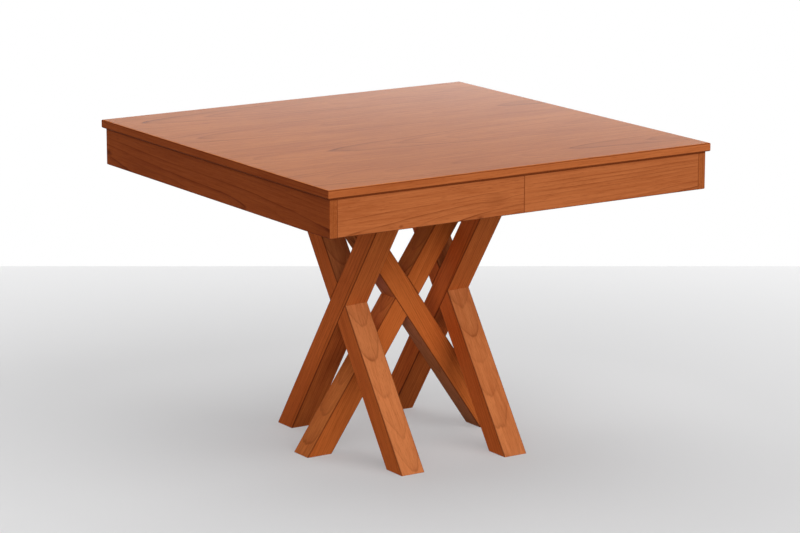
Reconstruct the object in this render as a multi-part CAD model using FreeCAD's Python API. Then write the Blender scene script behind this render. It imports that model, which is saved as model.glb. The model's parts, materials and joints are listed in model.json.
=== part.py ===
import FreeCAD, Part
import math
import os

os.makedirs("parts", exist_ok=True)
V = FreeCAD.Vector

# Sawbuck extension table: a square wooden top, split across the middle, on three half-lapped
# X-frames.  X is the way the top opens, Y runs along the split, Z is up, and the origin is on the
# floor under the middle of the table.  All lengths are in millimetres and all angles in degrees.
# A place given as a "drop" is measured down from the underside of the top.

# ---- The top ------------------------------------------------------------------------------------
table_height = 771.0
top_length = 1067.0
top_width = 1067.0
top_thickness = 20.5
top_edge_radius = 3.0
top_seam_gap = 0.1
half_travel = 305.0

# ---- The apron ----------------------------------------------------------------------------------
apron_setback = 8.5
apron_height = 91.5
apron_thickness = 20.5
apron_seam_gap = 0.8
apron_edge_chamfer = 1.0

# ---- The X-frames -------------------------------------------------------------------------------
foot_reach = 253.0
lap_height = 366.0
leg_width = 57.0
leg_thickness = 65.0
leg_edge_chamfer = 1.5
frame_gap = 14.2

# ---- The head rails that join the frames --------------------------------------------------------
head_rail_thickness = 27.0
head_rail_width = 70.0
head_rail_end = 12.0
head_rail_bevel = 14.0

# ---- The slides ---------------------------------------------------------------------------------
slide_height = 50.0
slide_leg_gap = 1.0
slide_end_gap = 22.0
slide_side_gap = 0.5
running_gap = 1.5
runner_width = 34.0
runner_end_gap = 5.0
tongue_drop = 14.0
tongue_depth = 8.0
tongue_root = 10.0
tongue_tip = 15.0
tongue_gap = 0.4
stop_offset = 100.0
stop_radius = 2.5
stop_reach = 6.0
stop_gap = 0.5

# ---- The gears that make both halves open together ----------------------------------------------
gear_module = 4.0
pinion_teeth = 12
pinion_flank_points = 4
pressure_angle = 25.0
gear_backlash = 0.5
pinion_height = 10.0
pinion_rise = 14.0
pinion_end_gap = 0.3
pinion_pin_radius = 4.0
pinion_pin_bite = 12.0
rack_height = 12.0
rack_back = 5.0
rack_tip_gap = 1.0
rack_end = 20.0

# ---- Corner blocks and clips --------------------------------------------------------------------
block_side = 60.0
block_height = 70.0
block_screw_side = 30.0
block_screw_seat = 18.0
end_screw_drop = 22.0
side_screw_drop = 50.0
clip_width = 16.0
clip_thickness = 1.5
clip_drop = 11.0
clip_reach = 26.0
clip_tongue = 7.0
clip_stand_off = 4.0
clip_slot_width = 22.0
clip_slot_height = 2.5
clip_slot_depth = 8.0
clip_screw_reach = 17.0
end_clip_inset = 107.0
side_clip_from_seam = 230.0

# ---- Flat keys across the split -----------------------------------------------------------------
key_width = 40.0
key_thickness = 6.0
key_in_right = 16.0
key_in_left = 14.0
key_gap = 0.3
key_end_gap = 1.0
key_edge_inset = 63.5

# ---- Table locks --------------------------------------------------------------------------------
lock_reach = 60.0
lock_plate_length = 44.0
lock_plate_width = 30.0
lock_plate_thickness = 3.0
lock_post_radius = 4.0
lock_head_radius = 7.0
lock_head = 1.5
lock_slot_gap = 0.5
lever_thickness = 3.0
lever_gap = 0.3
lever_arm_width = 14.0
lever_boss_radius = 11.0
lever_hook_radius = 17.0
lever_handle_reach = 88.0
lever_handle_width = 12.0
lever_tab = 10.0
lever_runner_gap = 5.5

# ---- Fits ---------------------------------------------------------------------------------------
pin_fit = 0.05
screw_fit = 0.1
head_fit = 0.3

# ---- Screws: radius and length of the shank, and a head in proportion to it ---------------------
lag_screw_radius = 3.0
lag_screw_length = 72.0
lag_screw_recess = 5.0
lag_screw_inset = 14.0
rail_screw_radius = 2.5
rail_screw_length = 49.0
rail_screw_recess = 6.0
runner_screw_radius = 2.5
runner_screw_length = 34.0
runner_screw_seat = 22.0
runner_screw_inset = 10.0
runner_screw_end = 32.0
runner_screw_from_seam = 45.0
runner_screw_count = 3
block_screw_radius = 2.25
block_screw_length = 31.0
clip_screw_radius = 2.0
clip_screw_length = 13.0
screw_head_ratio = 2.0
screw_head_height_ratio = 1.2

# ---- Levels and places worked out from the sizes above ------------------------------------------
underside = table_height - top_thickness
slide_base = underside - slide_height
leg_top = slide_base - head_rail_thickness
lean_angle = math.degrees(math.atan2(foot_reach, lap_height))
leg_top_reach = foot_reach * (leg_top - lap_height) / lap_height
leg_level_width = leg_width / math.cos(math.radians(lean_angle))
side_frame_offset = leg_level_width + leg_thickness + frame_gap
apron_outer_x = top_length / 2 - apron_setback
apron_outer_y = top_width / 2 - apron_setback
apron_inner_x = apron_outer_x - apron_thickness
apron_inner_y = apron_outer_y - apron_thickness
apron_bottom = underside - apron_height

pitch_radius = gear_module * pinion_teeth / 2
addendum = gear_module
dedendum = 1.25 * gear_module
tooth_pitch = math.pi * gear_module
tooth_thickness = (tooth_pitch - gear_backlash) / 2
slide_rail_half = pitch_radius - addendum - rack_tip_gap
slide_offset = leg_top_reach + leg_level_width / 2 + slide_leg_gap + slide_rail_half
slide_rail_reach = apron_inner_x - slide_end_gap
runner_face = slide_rail_half + slide_side_gap
runner_outer = runner_face + runner_width
runner_reach = apron_inner_x - runner_end_gap
rack_reach = half_travel + rack_end
rack_depth = pitch_radius + dedendum + rack_back
tongue_slope = (tongue_tip - tongue_root) / 2 / tongue_depth
lock_offset = slide_offset + runner_outer + lever_runner_gap + lever_handle_reach
lever_drop = lock_plate_thickness + lever_gap
lock_head_drop = lever_drop + lever_thickness + lever_gap

lag_screw = (lag_screw_radius, lag_screw_length)
rail_screw = (rail_screw_radius, rail_screw_length)
runner_screw = (runner_screw_radius, runner_screw_length)
block_screw = (block_screw_radius, block_screw_length)
clip_screw = (clip_screw_radius, clip_screw_length)


# ---- Helpers ------------------------------------------------------------------------------------
def box(low, high):
    """Box between two opposite corners, each given as (x, y, z)."""
    size = [b - a for a, b in zip(low, high)]
    return Part.makeBox(*size, V(*low))


def prism(points, path):
    """Straight prism: the closed outline through the points, pushed along the path."""
    outline = Part.makePolygon(list(points) + [points[0]])
    return Part.Face(outline).extrude(path)


def lathe(stations, seat, direction):
    """Round solid from (distance along the axis, radius) stations, placed on its seat."""
    rim = [V(radius, 0, along) for along, radius in stations]
    axis = [V(0, 0, stations[-1][0]), V(0, 0, stations[0][0])]
    outline = Part.makePolygon(rim + axis + [rim[0]])
    solid = Part.Face(outline).revolve(V(0, 0, 0), V(0, 0, 1), 360)
    solid.Placement = FreeCAD.Placement(seat, FreeCAD.Rotation(V(0, 0, 1), direction))
    return solid


def picked(shape, keep):
    """The edges of the shape that keep(edge) picks."""
    return [edge for edge in shape.Edges if keep(edge)]


def runs_along(edge, axis):
    """True for an edge parallel to the axis."""
    return abs(edge.tangentAt(edge.FirstParameter).dot(axis)) > 0.999


def shifted(shape, x=0.0, y=0.0, z=0.0):
    """Copy moved by the given distances."""
    copy = shape.copy()
    copy.translate(V(x, y, z))
    return copy


def spun(shape, angle):
    """Copy turned about the vertical axis through the origin."""
    copy = shape.copy()
    copy.rotate(V(0, 0, 0), V(0, 0, 1), angle)
    return copy


def flipped(shape, axis):
    """Mirror image across the plane through the origin square to the axis."""
    return shape.mirror(V(0, 0, 0), axis)


def spread(first, last, count):
    """Evenly spaced places from the first to the last."""
    return [first + (last - first) * i / (count - 1) for i in range(count)]


def six_sided(steps, seat, direction):
    """Six-sided bar from (start, end, radius to the corners) steps, placed on its seat."""
    bars = []
    for start, end, radius in steps:
        corners = [V(radius * math.cos(turn), radius * math.sin(turn), start)
                   for turn in (math.radians(60 * side) for side in range(6))]
        bars.append(prism(corners, V(0, 0, end - start)))
    bar = bars[0].fuse(bars[1:])
    bar.Placement = FreeCAD.Placement(seat, FreeCAD.Rotation(V(0, 0, 1), direction))
    return bar


def screw(kind, seat, direction):
    """Six-sided screw whose head bears on the seat and whose shank runs along the direction."""
    radius, length = kind
    head_height = radius * screw_head_height_ratio
    steps = [(-head_height, 0, radius * screw_head_ratio), (0, length, radius)]
    return six_sided(steps, seat, direction)


def screw_hole(kind, seat, direction, recess):
    """Hole for a screw, with a flat-bottomed recess for its head."""
    radius, length = kind
    steps = [(-recess, 0, radius * screw_head_ratio + head_fit),
             (0, length + screw_fit, radius + screw_fit)]
    return six_sided(steps, seat, direction)


def save(name, *solids):
    """Write one node: a single solid, or a group of separate like solids."""
    shape = solids[0] if len(solids) == 1 else Part.makeCompound(list(solids))
    shape.exportStep("parts/" + name + ".step")


UP = V(0, 0, 1)
DOWN = V(0, 0, -1)
ALONG = V(1, 0, 0)
ACROSS = V(0, 1, 0)


# ---- X-frames -----------------------------------------------------------------------------------
# A frame is drawn standing in the XZ plane.  Its two legs cross at the lap, and there each one
# keeps half of its thickness.  The front leg is the one whose face runs unbroken on the -Y side.
def leg_post(foot_side, chamfer):
    """Whole leg before it is halved: cut level at the foot and at the head."""
    half = V(leg_width / 2, leg_thickness / 2, table_height)
    post = box((-half.x, -half.y, -half.z), (half.x, half.y, half.z))
    if chamfer:
        post = post.makeChamfer(chamfer, picked(post, lambda edge: runs_along(edge, UP)))
    post.rotate(V(0, 0, 0), ACROSS, -foot_side * lean_angle)
    post.translate(V(0, 0, lap_height))
    room = box((-table_height, -leg_thickness, 0), (table_height, leg_thickness, leg_top))
    return post.common(room)


def lag_screw_seat(foot_side):
    """Seat of the screw into the head of the leg, which stands over the other foot."""
    return V(-foot_side * (leg_top_reach - lag_screw_inset), 0, slide_base - lag_screw_recess)


def lag_screw_hole(foot_side):
    return screw_hole(lag_screw, lag_screw_seat(foot_side), DOWN, lag_screw_recess)


def lapped_leg(foot_side, front_foot):
    """Leg halved where the other leg of its frame crosses it."""
    lost_side = 1 if foot_side == front_foot else -1
    low_y, high_y = sorted((0, lost_side * leg_thickness))
    lost_half = box((-table_height, low_y, 0), (table_height, high_y, table_height))
    lap = leg_post(-foot_side, 0).common(lost_half)
    return leg_post(foot_side, leg_edge_chamfer).cut([lap, lag_screw_hole(foot_side)])


def at_all_frames(pieces):
    """Copies of pieces drawn in the centre frame, there and in the two side frames."""
    turned = [spun(piece, 90) for piece in pieces]
    sides = [shifted(piece, x) for x in (-side_frame_offset, side_frame_offset) for piece in turned]
    return pieces + sides


def save_frames():
    """The two side frames stand across the table, and the centre frame stands along it."""
    save("centre_frame_left_leg", lapped_leg(-1, 1))
    save("centre_frame_right_leg", lapped_leg(1, 1))
    for name, x in (("left", -side_frame_offset), ("right", side_frame_offset)):
        save(name + "_frame_front_leg", shifted(spun(lapped_leg(-1, -1), 90), x))
        save(name + "_frame_rear_leg", shifted(spun(lapped_leg(1, -1), 90), x))
    screws = [screw(lag_screw, lag_screw_seat(side), DOWN) for side in (-1, 1)]
    save("leg_lag_screws", *at_all_frames(screws))


# ---- Head rails ---------------------------------------------------------------------------------
# One rail caps each frame.  The centre rail crosses the two side rails in half-laps.
def head_rail(reach):
    """Rail along X with its lower end corners bevelled off."""
    profile = [(-reach, slide_base), (reach, slide_base),
               (reach, leg_top + head_rail_bevel), (reach - head_rail_bevel, leg_top),
               (head_rail_bevel - reach, leg_top), (-reach, leg_top + head_rail_bevel)]
    points = [V(x, -head_rail_width / 2, z) for x, z in profile]
    return prism(points, V(0, head_rail_width, 0))


def head_lap(x, low, high):
    """Room for the rail that crosses at x, between two levels."""
    half = head_rail_width / 2
    return box((x - half, -half, low), (x + half, half, high))


def save_head_rails():
    """The rails are lapped and set in place before the holes for the legs' screws are drilled."""
    middle = (slide_base + leg_top) / 2
    leg_holes = at_all_frames([lag_screw_hole(side) for side in (-1, 1)])
    seats = [V(x, y, leg_top + rail_screw_recess)
             for x in (-side_frame_offset, side_frame_offset) for y in (-slide_offset, slide_offset)]
    slide_holes = [screw_hole(rail_screw, seat, UP, rail_screw_recess) for seat in seats]
    side = head_rail(slide_offset + slide_rail_half + head_rail_end)
    side = spun(side.cut(head_lap(0, middle, slide_base)), 90)
    centre = head_rail(leg_top_reach + leg_level_width / 2 + head_rail_end)
    for name, x in (("left", -side_frame_offset), ("right", side_frame_offset)):
        save(name + "_head_rail", shifted(side, x).cut(leg_holes + slide_holes))
        centre = centre.cut(head_lap(x, leg_top, middle))
    save("centre_head_rail", centre.cut(leg_holes))
    save("slide_rail_screws", *[screw(rail_screw, seat, UP) for seat in seats])


# ---- Slides -------------------------------------------------------------------------------------
# A slide is drawn about the XZ plane.  Its rail is fixed to the base.  The runner on the +Y side
# belongs to the left half of the top, and the same runner turned half round, to the right half.
def tongue_profile(face, depth, gap):
    """Dovetail outline in the YZ plane, from a face at y down to a depth below the rail's side."""
    z = underside - tongue_drop
    bottom = slide_rail_half - depth
    face_half = tongue_root / 2 + tongue_slope * (slide_rail_half - face) + gap
    bottom_half = tongue_root / 2 + tongue_slope * depth + gap
    return [(face, z - face_half), (face, z + face_half),
            (bottom, z + bottom_half), (bottom, z - bottom_half)]


def along_x(profile, low, high):
    """Prism of a (y, z) outline between two places along X."""
    return prism([V(low, y, z) for y, z in profile], V(high - low, 0, 0))


def pinion_pin(gap):
    """Pin let into the rail from below; with a gap, its hole."""
    length = pinion_rise + pinion_height / 2 + pinion_pin_bite + gap
    return Part.makeCylinder(pinion_pin_radius + gap, length, V(0, 0, slide_base))


def stop_pin(gap):
    """Pin in the rail that meets the ends of the runner's slot; with a gap, its hole."""
    reach = slide_rail_half - tongue_depth - slide_side_gap + stop_reach
    seat = V(-stop_offset, 0, underside - tongue_drop)
    return Part.makeCylinder(stop_radius + gap, reach, seat, ACROSS)


def slide_rail():
    """Fixed rail: a dovetail groove along each side and a slot through it for the pinion."""
    top = underside - running_gap
    rail = box((-slide_rail_reach, -slide_rail_half, slide_base),
               (slide_rail_reach, slide_rail_half, top))
    groove_depth = tongue_depth + slide_side_gap
    groove = along_x(tongue_profile(slide_rail_half, groove_depth, tongue_gap),
                     -slide_rail_reach, slide_rail_reach)
    slot_x = pitch_radius + addendum + running_gap
    slot_half = pinion_height / 2 + pinion_end_gap
    slot_z = slide_base + pinion_rise
    slot = box((-slot_x, -slide_rail_half, slot_z - slot_half),
               (slot_x, slide_rail_half, slot_z + slot_half))
    stop_hole = stop_pin(pin_fit)
    seats = [V(x, 0, leg_top + rail_screw_recess) for x in (-side_frame_offset, side_frame_offset)]
    screw_holes = [screw_hole(rail_screw, seat, UP, rail_screw_recess) for seat in seats]
    holes = [groove, spun(groove, 180), slot, pinion_pin(pin_fit), stop_hole, spun(stop_hole, 180)]
    return rail.cut(holes + screw_holes)


def runner_screw_seats(side):
    """Seats in the runner on one side of the rail, all of them under the left half of the top."""
    y = side * (runner_outer - runner_screw_inset)
    first = runner_screw_end - apron_inner_x
    return [V(x, y, underside - runner_screw_seat)
            for x in spread(first, -runner_screw_from_seam, runner_screw_count)]


def runner_screw_hole(seat):
    return screw_hole(runner_screw, seat, UP, slide_height - runner_screw_seat)


def runner():
    """Moving bar: a dovetail tongue with the stop slot in it, and a groove for the rack."""
    base = slide_base + running_gap
    bar = box((-runner_reach, runner_face, base), (rack_reach, runner_outer, underside))
    relief = box((-top_seam_gap, runner_face, underside - running_gap),
                 (rack_reach, runner_outer, underside))
    tongue = along_x(tongue_profile(runner_face, tongue_depth, 0), -runner_reach, rack_reach)
    rack_z = slide_base + pinion_rise
    rack_groove = box((-rack_end, runner_face, rack_z - rack_height / 2),
                      (rack_reach, rack_depth, rack_z + rack_height / 2))
    slot_half = stop_radius + stop_gap
    slot_z = underside - tongue_drop
    slot_bottom = slide_rail_half - tongue_depth + stop_reach
    stop_slot = box((-stop_offset - slot_half, 0, slot_z - slot_half),
                    (half_travel - stop_offset + slot_half, slot_bottom, slot_z + slot_half))
    screw_holes = [runner_screw_hole(seat) for seat in runner_screw_seats(1)]
    return bar.fuse(tongue).cut([relief, rack_groove, stop_slot] + screw_holes)


def rack(tooth_shift):
    """Toothed strip in the +Y runner; its teeth point at the pinion."""
    tip_y = pitch_radius - addendum
    root_y = pitch_radius + dedendum
    lean = math.tan(math.radians(pressure_angle))
    tip_half = tooth_thickness / 2 - addendum * lean
    root_half = tooth_thickness / 2 + dedendum * lean
    first = math.ceil((root_half - rack_end - tooth_shift) / tooth_pitch - 0.5)
    last = math.floor((rack_reach - root_half - tooth_shift) / tooth_pitch - 0.5)
    outline = [(-rack_end, rack_depth), (-rack_end, root_y)]
    for number in range(first, last + 1):
        x = (number + 0.5) * tooth_pitch + tooth_shift
        outline += [(x - root_half, root_y), (x - tip_half, tip_y),
                    (x + tip_half, tip_y), (x + root_half, root_y)]
    outline += [(rack_reach, root_y), (rack_reach, rack_depth)]
    z = slide_base + pinion_rise - rack_height / 2
    return prism([V(x, y, z) for x, y in outline], V(0, 0, rack_height))


def involute(angle):
    """Involute function of a pressure angle in radians."""
    return math.tan(angle) - angle


def pinion():
    """Involute gear on its pin, with the middle of one tooth on the +Y axis."""
    pressure = math.radians(pressure_angle)
    base = pitch_radius * math.cos(pressure)
    tip = pitch_radius + addendum
    pitch_half = tooth_thickness / 2 / pitch_radius + involute(pressure)
    flank = [(radius, pitch_half - involute(math.acos(base / radius)))
             for radius in spread(base, tip, pinion_flank_points)]
    flank = [(pitch_radius - dedendum, flank[0][1])] + flank
    corners = []
    for tooth in range(pinion_teeth):
        middle = math.pi / 2 + 2 * math.pi * tooth / pinion_teeth
        corners += [(radius, middle - half) for radius, half in flank]
        corners += [(radius, middle + half) for radius, half in reversed(flank)]
    z = slide_base + pinion_rise - pinion_height / 2
    outline = [V(radius * math.cos(turn), radius * math.sin(turn), z) for radius, turn in corners]
    bore = Part.makeCylinder(pinion_pin_radius + pin_fit, pinion_height, V(0, 0, z))
    return prism(outline, V(0, 0, pinion_height)).cut(bore)


def save_front_and_rear(name, rear):
    """Write a rear piece and its mirror image at the front."""
    save(name.format("rear"), rear)
    save(name.format("front"), flipped(rear, ACROSS))


def with_front(rear_pieces):
    """The rear pieces and their mirror images at the front."""
    return rear_pieces + [flipped(piece, ACROSS) for piece in rear_pieces]


def save_slides():
    """The rear slide stands at +Y and the front slide is its mirror image."""
    odd_teeth_shift = tooth_pitch / 2 * (pinion_teeth % 2)
    pieces = {"{}_slide_rail": slide_rail(), "{}_pinion": pinion(),
              "left_{}_runner": runner(), "left_{}_rack": rack(0),
              "right_{}_runner": spun(runner(), 180),
              "right_{}_rack": spun(rack(odd_teeth_shift), 180)}
    for name, solid in pieces.items():
        save_front_and_rear(name, shifted(solid, y=slide_offset))
    stops = [shifted(solid, y=slide_offset) for solid in (stop_pin(0), spun(stop_pin(0), 180))]
    save("pinion_pins", *with_front([shifted(pinion_pin(0), y=slide_offset)]))
    save("slide_stop_pins", *with_front(stops))


# ---- Top, apron and what holds them together ----------------------------------------------------
# Everything here is drawn for the left half, and the right half is its mirror image but for the
# side of the slide that its runners are on, the keys across the split and the locks.
def top_blank():
    """Left half of the top, rounded over on its three outer edges but not along the split."""
    low = (-top_length / 2, -top_width / 2, underside)
    high = (-top_seam_gap / 2, top_width / 2, table_height)
    blank = box(low, high)
    end_edges = picked(blank, lambda edge: runs_along(edge, ACROSS) and edge.CenterOfMass.x < low[0] / 2)
    side_edges = picked(blank, lambda edge: runs_along(edge, ALONG))
    end_rounded = blank.makeFillet(top_edge_radius, end_edges)
    return end_rounded.common(blank.makeFillet(top_edge_radius, side_edges))


def end_clip_places():
    """Places along the end apron of its clips."""
    outer = apron_inner_y - end_clip_inset
    return [-outer, 0, outer]


def at_end_apron(shape):
    """Copies of a shape drawn at the inside of an end apron, at each clip."""
    return [shifted(shape, -apron_inner_x, place) for place in end_clip_places()]


def at_rear_apron(shape):
    """Copy of a shape drawn at the inside of an end apron, at the clip of the rear apron."""
    return shifted(spun(shape, -90), -side_clip_from_seam, apron_inner_y)


def at_all_clips(shape):
    return at_end_apron(shape) + with_front([at_rear_apron(shape)])


def clip_seat():
    return V(clip_screw_reach, 0, underside - clip_thickness)


def clip_screw_hole():
    return screw_hole(clip_screw, clip_seat(), UP, clip_thickness)


def top_clip():
    """Z-shaped steel clip: one leg under the top, the other in a slot in the apron."""
    out = clip_stand_off + clip_thickness
    drop = clip_drop + clip_thickness
    profile = [(clip_stand_off, 0), (clip_reach, 0), (clip_reach, clip_thickness),
               (out, clip_thickness), (out, drop), (-clip_tongue, drop),
               (-clip_tongue, clip_drop), (clip_stand_off, clip_drop)]
    points = [V(x, -clip_width / 2, underside - down) for x, down in profile]
    return prism(points, V(0, clip_width, 0)).cut(clip_screw_hole())


def clip_slot():
    """Short slot in the apron for the clip's tongue."""
    top = underside - clip_drop
    return box((-clip_slot_depth, -clip_slot_width / 2, top - clip_slot_height),
               (0, clip_slot_width / 2, top))


def block_screw_seats():
    """Seat and direction of the rear block's screws, into the end apron and the side apron."""
    end_seat = V(-apron_inner_x + block_screw_seat, apron_inner_y - block_screw_side,
                 underside - end_screw_drop)
    side_seat = V(-apron_inner_x + block_screw_side, apron_inner_y - block_screw_seat,
                  underside - side_screw_drop)
    return [(end_seat, -ALONG), (side_seat, ACROSS)]


def block_screw_holes():
    recess = block_side - block_screw_seat
    return [screw_hole(block_screw, seat, way, recess) for seat, way in block_screw_seats()]


def corner_block():
    """Triangular glue block in the rear corner of the apron."""
    x, y = -apron_inner_x, apron_inner_y
    z = underside - block_height
    points = [V(x, y, z), V(x, y - block_side, z), V(x + block_side, y, z)]
    return prism(points, V(0, 0, block_height)).cut(block_screw_holes())


def ease_bottom(board):
    """Takes the corner off the bottom edges on the outside of an apron board."""
    return board.makeChamfer(apron_edge_chamfer, picked(
        board, lambda edge: edge.CenterOfMass.z < apron_bottom + apron_edge_chamfer
        and (edge.CenterOfMass.x < -apron_outer_x + apron_edge_chamfer
             or abs(edge.CenterOfMass.y) > apron_outer_y - apron_edge_chamfer)))


def end_apron():
    """Board right across the end of the table; its end grain shows at both sides."""
    board = ease_bottom(box((-apron_outer_x, -apron_outer_y, apron_bottom),
                            (-apron_inner_x, apron_outer_y, underside)))
    return board.cut(at_end_apron(clip_slot()) + with_front(block_screw_holes()))


def rear_apron():
    """Rear side board, from the end apron to the split."""
    board = ease_bottom(box((-apron_inner_x, apron_inner_y, apron_bottom),
                            (-apron_seam_gap / 2, apron_outer_y, underside)))
    return board.cut([at_rear_apron(clip_slot())] + block_screw_holes())


def seam_keys(low, high, gap):
    """Flat bars across the split, between two places along X; with a gap, their slots."""
    outer = top_width / 2 - key_edge_inset
    half_width = key_width / 2 + gap
    half_height = key_thickness / 2 + gap
    z = underside + top_thickness / 2
    return [box((low, y - half_width, z - half_height), (high, y + half_width, z + half_height))
            for y in (-outer, 0, outer)]


def seam_slots(half):
    """Slots in the edge of one half, drawn in the left half: easy at the left, tight at the right."""
    if half == "left":
        return seam_keys(-key_in_left - key_end_gap, 0, key_gap)
    return seam_keys(-key_in_right, 0, 0)


def lock_plate():
    """Steel plate of the rear lock, screwed under the left half."""
    half = V(lock_plate_length / 2, lock_plate_width / 2, 0)
    return box((-lock_reach / 2 - half.x, lock_offset - half.y, underside - lock_plate_thickness),
               (-lock_reach / 2 + half.x, lock_offset + half.y, underside))


def lock_post():
    """Headed post of the rear lock that stands under its plate and goes down through the lever."""
    stations = [(lock_plate_thickness, lock_post_radius), (lock_head_drop, lock_post_radius),
                (lock_head_drop, lock_head_radius), (lock_head_drop + lock_head, lock_head_radius)]
    return lathe(stations, V(-lock_reach / 2, lock_offset, underside), DOWN)


def lock_lever():
    """Hook of the rear lock, drawn closed and then swung open towards the middle of the table."""
    bottom = -lever_drop - lever_thickness
    parts = [Part.makeCylinder(lever_hook_radius, lever_thickness, V(lock_reach, 0, bottom)),
             box((0, -lever_arm_width / 2, bottom), (lock_reach, lever_arm_width / 2, -lever_drop)),
             box((lock_reach, -lever_handle_width / 2, bottom),
                 (lever_handle_reach, lever_handle_width / 2, -lever_drop)),
             box((lever_handle_reach - lever_thickness, -lever_handle_width / 2, bottom - lever_tab),
                 (lever_handle_reach, lever_handle_width / 2, bottom))]
    lever = Part.makeCylinder(lever_boss_radius, lever_thickness, V(0, 0, bottom)).fuse(parts)
    slot_half = lock_post_radius + lock_slot_gap
    mouth_angle = 2 * math.degrees(math.atan2(lever_hook_radius, lock_reach))
    slot = [Part.makeCylinder(radius, lever_thickness, V(0, 0, bottom), UP, mouth_angle)
            for radius in (lock_reach + slot_half, lock_reach - slot_half)]
    slot_end = Part.makeCylinder(slot_half, lever_thickness, V(lock_reach, 0, bottom))
    bore = Part.makeCylinder(lock_post_radius + pin_fit, lever_thickness, V(0, 0, bottom))
    lever = lever.removeSplitter().cut([slot[0].cut(slot[1]), slot_end, bore])
    return shifted(spun(lever, -90), -lock_reach / 2, lock_offset, underside)


def save_locks():
    """The pivot's post stands on a plate of its own, and the keeper's is one piece with its plate."""
    save("lock_plates", *with_front([lock_plate()]))
    save("lock_posts", *with_front([lock_post()]))
    save("lock_keepers", *with_front([flipped(lock_plate().fuse(lock_post()), ALONG)]))
    save_front_and_rear("{}_lock_lever", lock_lever())


def save_half(half, runner_side):
    """Write the top, the apron and their fixings on one side of the split."""
    def placed(solid):
        return solid if half == "left" else flipped(solid, ALONG)

    def save_placed(name, *solids):
        save(half + "_" + name, *[placed(solid) for solid in solids])

    runner_seats = [seat + V(0, slide_offset, 0) for seat in runner_screw_seats(runner_side)]
    runner_screws = with_front([screw(runner_screw, seat, UP) for seat in runner_seats])
    clip_screws = at_all_clips(screw(clip_screw, clip_seat(), UP))
    holes = with_front([runner_screw_hole(seat) for seat in runner_seats])
    holes += at_all_clips(clip_screw_hole())
    save_placed("top_panel", top_blank().cut(holes + seam_slots(half)))
    save_placed("end_apron", end_apron())
    for side, apron, block in (("rear", rear_apron(), corner_block()),
                               ("front", flipped(rear_apron(), ACROSS),
                                flipped(corner_block(), ACROSS))):
        save_placed(side + "_apron", apron)
        save_placed(side + "_corner_block", block)
    block_screws = [screw(block_screw, seat, way) for seat, way in block_screw_seats()]
    save_placed("corner_screws", *with_front(block_screws))
    save_placed("top_clips", *at_all_clips(top_clip()))
    save_placed("clip_screws", *clip_screws)
    save_placed("runner_screws", *runner_screws)


save_frames()
save_head_rails()
save_slides()
save_half("left", 1)
save_half("right", -1)
save_locks()
save("seam_keys", *seam_keys(-key_in_left, key_in_right, 0))
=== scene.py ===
import json
import math
from collections import namedtuple
import bmesh
import bpy
from bpy.props import FloatProperty, FloatVectorProperty, PointerProperty
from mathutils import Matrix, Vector

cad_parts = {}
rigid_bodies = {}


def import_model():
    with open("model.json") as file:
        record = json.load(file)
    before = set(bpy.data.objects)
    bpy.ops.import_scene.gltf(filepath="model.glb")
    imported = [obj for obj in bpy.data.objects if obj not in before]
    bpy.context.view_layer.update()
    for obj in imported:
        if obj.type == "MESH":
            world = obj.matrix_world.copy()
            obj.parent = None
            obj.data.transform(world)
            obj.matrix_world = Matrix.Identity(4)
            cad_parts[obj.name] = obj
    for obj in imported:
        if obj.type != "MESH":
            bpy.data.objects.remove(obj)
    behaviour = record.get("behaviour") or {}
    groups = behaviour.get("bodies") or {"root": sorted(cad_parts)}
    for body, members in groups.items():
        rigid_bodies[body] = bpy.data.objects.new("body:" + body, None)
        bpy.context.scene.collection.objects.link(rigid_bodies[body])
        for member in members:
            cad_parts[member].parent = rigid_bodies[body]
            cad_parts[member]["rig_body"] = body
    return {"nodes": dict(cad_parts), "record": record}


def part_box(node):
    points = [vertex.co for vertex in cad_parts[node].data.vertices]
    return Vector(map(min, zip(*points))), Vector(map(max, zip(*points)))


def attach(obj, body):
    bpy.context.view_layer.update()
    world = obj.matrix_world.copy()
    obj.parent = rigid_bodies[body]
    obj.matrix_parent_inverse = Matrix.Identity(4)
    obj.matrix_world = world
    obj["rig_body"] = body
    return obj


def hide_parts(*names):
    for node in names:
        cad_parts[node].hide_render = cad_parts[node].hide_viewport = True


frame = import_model()

bl_info = {
    "name": "Sawbuck extension table",
    "version": (1, 0, 0),
    "blender": (4, 5, 0),
    "location": "3D View > Sidebar > Table",
    "description": "Dresses the boards, legs, slides and fittings of a sawbuck extension table",
    "category": "Object",
}

UP = Vector((0, 0, 1))
DOWN = Vector((0, 0, -1))
LEFT = Vector((-1, 0, 0))
RIGHT = Vector((1, 0, 0))
FRONT = Vector((0, -1, 0))
REAR = Vector((0, 1, 0))
# How far a face may lean from a way and still count as looking along it, as a cosine
SQUARE = 0.8
# How much shows: painted shade on an eased wooden edge (a brighter worn edge on steel), painted shadow in
# the line under the top and on its rounded edges, and dark stain where two boards meet
EASED_SHADE_AND_WEAR = 0.75
LINE_SHADE = 0.8
JOINT_STAIN = 0.7
BEVEL_STEPS = 3
# Edges that are rounded: how sharp they are at least, and how long on a board and on a fitting
SHARP = math.radians(30)
SHORTEST_BOARD_EDGE = 0.012
SHORTEST_STEEL_EDGE = 0.0012


# ---- Sizes and colours a user would change -------------------------------------------------------
def colour(name, description, value):
    return FloatVectorProperty(name=name, description=description, subtype="COLOR", size=3,
                               min=0, max=1, default=value)


def length(name, description, value):
    return FloatProperty(name=name, description=description, subtype="DISTANCE", unit="LENGTH",
                         min=0, default=value, precision=5)


def amount(name, description, value):
    return FloatProperty(name=name, description=description, min=0, default=value)


def angle(name, description, degrees):
    return FloatProperty(name=name, description=description, subtype="ANGLE",
                         default=math.radians(degrees))


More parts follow.
